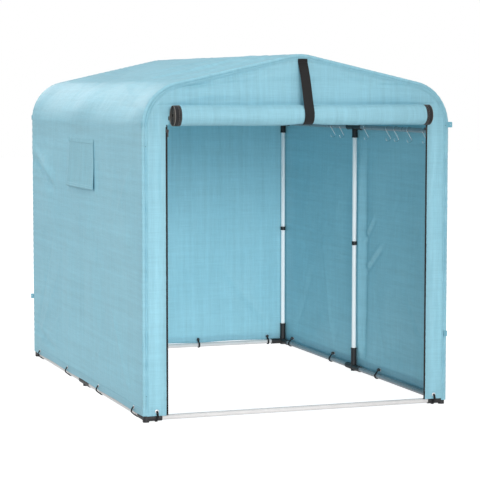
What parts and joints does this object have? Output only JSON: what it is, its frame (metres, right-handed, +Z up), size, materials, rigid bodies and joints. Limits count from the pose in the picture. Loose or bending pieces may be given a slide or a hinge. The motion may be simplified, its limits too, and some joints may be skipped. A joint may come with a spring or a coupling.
{
  "type": "bicycle storage tent",
  "caption": "Tube-framed tent for storing bicycles: three steel arches, a fitted light blue cover, a roll-up door, a vent flap and hanging hooks.",
  "frame": {"origin": "on the ground, under the middle of the whole tent with its rolled door", "axes": "+Z up; the doorway faces -Y; +X is to the right of someone who looks in through the doorway"},
  "size_m": [1.64, 2.4148, 1.7609],
  "materials": {
    "cover_cloth": "satin",
    "door_cloth": "satin",
    "flap_cloth": "satin",
    "door_zip_tape": "matte",
    "zip_tape": "matte",
    "strap_webbing": "matte",
    "vent_mesh": "matte",
    "joint_plastic": "satin",
    "tube_coating": "satin",
    "eyelet_metal": "polished",
    "elastic_cord": "matte",
    "ball_plastic": "gloss",
    "hook_wire": "polished",
    "slider_metal": "satin",
    "pull_metal": "satin"
  },
  "bodies": {
    "shelter": {"back_panel": "cover_cloth", "base_corners_front": "joint_plastic", "base_corners_rear": "joint_plastic", "base_tees_middle": "joint_plastic", "base_tube_rear": "tube_coating", "base_tubes_left": "tube_coating", "base_tubes_right": "tube_coating", "door_curtain": "door_cloth", "door_strap": "strap_webbing", "eave_corners_front": "joint_plastic", "eave_corners_rear": "joint_plastic", "eave_cover_left": "cover_cloth", "eave_cover_right": "cover_cloth", "eave_rail_left": "tube_coating", "eave_rail_right": "tube_coating", "eave_tees_middle": "joint_plastic", "elastic_loops": "elastic_cord", "eyelets": "eyelet_metal", "front_gable": "cover_cloth", "front_strip_left": "cover_cloth", "front_strip_right": "cover_cloth", "guy_tabs": "cover_cloth", "leg_collars": "joint_plastic", "leg_front_left": "tube_coating", "leg_front_right": "tube_coating", "leg_middle_left": "tube_coating", "leg_middle_right": "tube_coating", "leg_rear_left": "tube_coating", "leg_rear_right": "tube_coating", "loop_balls": "ball_plastic", "ridge_joints": "joint_plastic", "ridge_rail": "tube_coating", "roof_cover_left": "cover_cloth", "roof_cover_right": "cover_cloth", "roof_tube_front_left": "tube_coating", "roof_tube_front_right": "tube_coating", "roof_tube_middle_left": "tube_coating", "roof_tube_middle_right": "tube_coating", "roof_tube_rear_left": "tube_coating", "roof_tube_rear_right": "tube_coating", "threshold_tube": "tube_coating", "vent_screen": "vent_mesh", "wall_left": "cover_cloth", "wall_right": "cover_cloth", "zip_left": "zip_tape", "zip_right": "zip_tape"},
    "door_roll": {"door_roll": "door_cloth", "door_zip_bands": "door_zip_tape"},
    "zip_slider_left": {"zip_slider_left": "slider_metal"},
    "zip_slider_right": {"zip_slider_right": "slider_metal"},
    "zip_pull_left": {"zip_pull_left": "pull_metal"},
    "zip_pull_right": {"zip_pull_right": "pull_metal"},
    "vent_flap": {"vent_flap": "flap_cloth"},
    "s_hook_1": {"s_hook_1": "hook_wire"},
    "s_hook_2": {"s_hook_2": "hook_wire"},
    "s_hook_3": {"s_hook_3": "hook_wire"},
    "s_hook_4": {"s_hook_4": "hook_wire"},
    "s_hook_5": {"s_hook_5": "hook_wire"},
    "s_hook_6": {"s_hook_6": "hook_wire"},
    "s_hook_7": {"s_hook_7": "hook_wire"}
  },
  "joints": [
    {"name": "door_drop", "type": "slide", "parent": "shelter", "child": "door_roll", "axis": [0, 0, -1], "range_m": [0, 1.373], "deforming": ["door_curtain", "door_strap"]},
    {"name": "zip_slide_left", "type": "slide", "parent": "shelter", "child": "zip_slider_left", "axis": [0, 0, -1], "range_m": [0, 1.34]},
    {"name": "zip_pull_swing_left", "type": "hinge", "parent": "zip_slider_left", "child": "zip_pull_left", "pos_m": [-0.674, -1.1056, 1.3958], "axis": [-1, 0, 0], "range_deg": [0, 150]},
    {"name": "zip_slide_right", "type": "slide", "parent": "shelter", "child": "zip_slider_right", "axis": [0, 0, -1], "range_m": [0, 1.34]},
    {"name": "zip_pull_swing_right", "type": "hinge", "parent": "zip_slider_right", "child": "zip_pull_right", "pos_m": [0.674, -1.1056, 1.3958], "axis": [-1, 0, 0], "range_deg": [0, 150]},
    {"name": "vent_flap_lift", "type": "hinge", "parent": "shelter", "child": "vent_flap", "pos_m": [-0.803, 0.0512, 1.31], "axis": [0, 1, 0], "range_deg": [0, 120]},
    {"name": "s_hook_1_swing", "type": "hinge", "parent": "shelter", "child": "s_hook_1", "pos_m": [0.78, -0.8618, 1.378], "axis": [0, 1, 0], "range_deg": [-2, 60]},
    {"name": "s_hook_2_swing", "type": "hinge", "parent": "shelter", "child": "s_hook_2", "pos_m": [0.78, -0.6728, 1.378], "axis": [0, 1, 0], "range_deg": [-2, 60]},
    {"name": "s_hook_3_swing", "type": "hinge", "parent": "shelter", "child": "s_hook_3", "pos_m": [0.78, -0.5078, 1.378], "axis": [0, 1, 0], "range_deg": [-2, 60]},
    {"name": "s_hook_4_swing", "type": "hinge", "parent": "shelter", "child": "s_hook_4", "pos_m": [0.78, -0.4038, 1.378], "axis": [0, 1, 0], "range_deg": [-2, 60]},
    {"name": "s_hook_5_swing", "type": "hinge", "parent": "shelter", "child": "s_hook_5", "pos_m": [0.78, -0.1068, 1.378], "axis": [0, 1, 0], "range_deg": [-2, 60]},
    {"name": "s_hook_6_swing", "type": "hinge", "parent": "shelter", "child": "s_hook_6", "pos_m": [0.78, 0.2442, 1.378], "axis": [0, 1, 0], "range_deg": [-2, 60]},
    {"name": "s_hook_7_swing", "type": "hinge", "parent": "shelter", "child": "s_hook_7", "pos_m": [0.78, 0.3732, 1.378], "axis": [0, 1, 0], "range_deg": [-2, 60]}
  ]
}
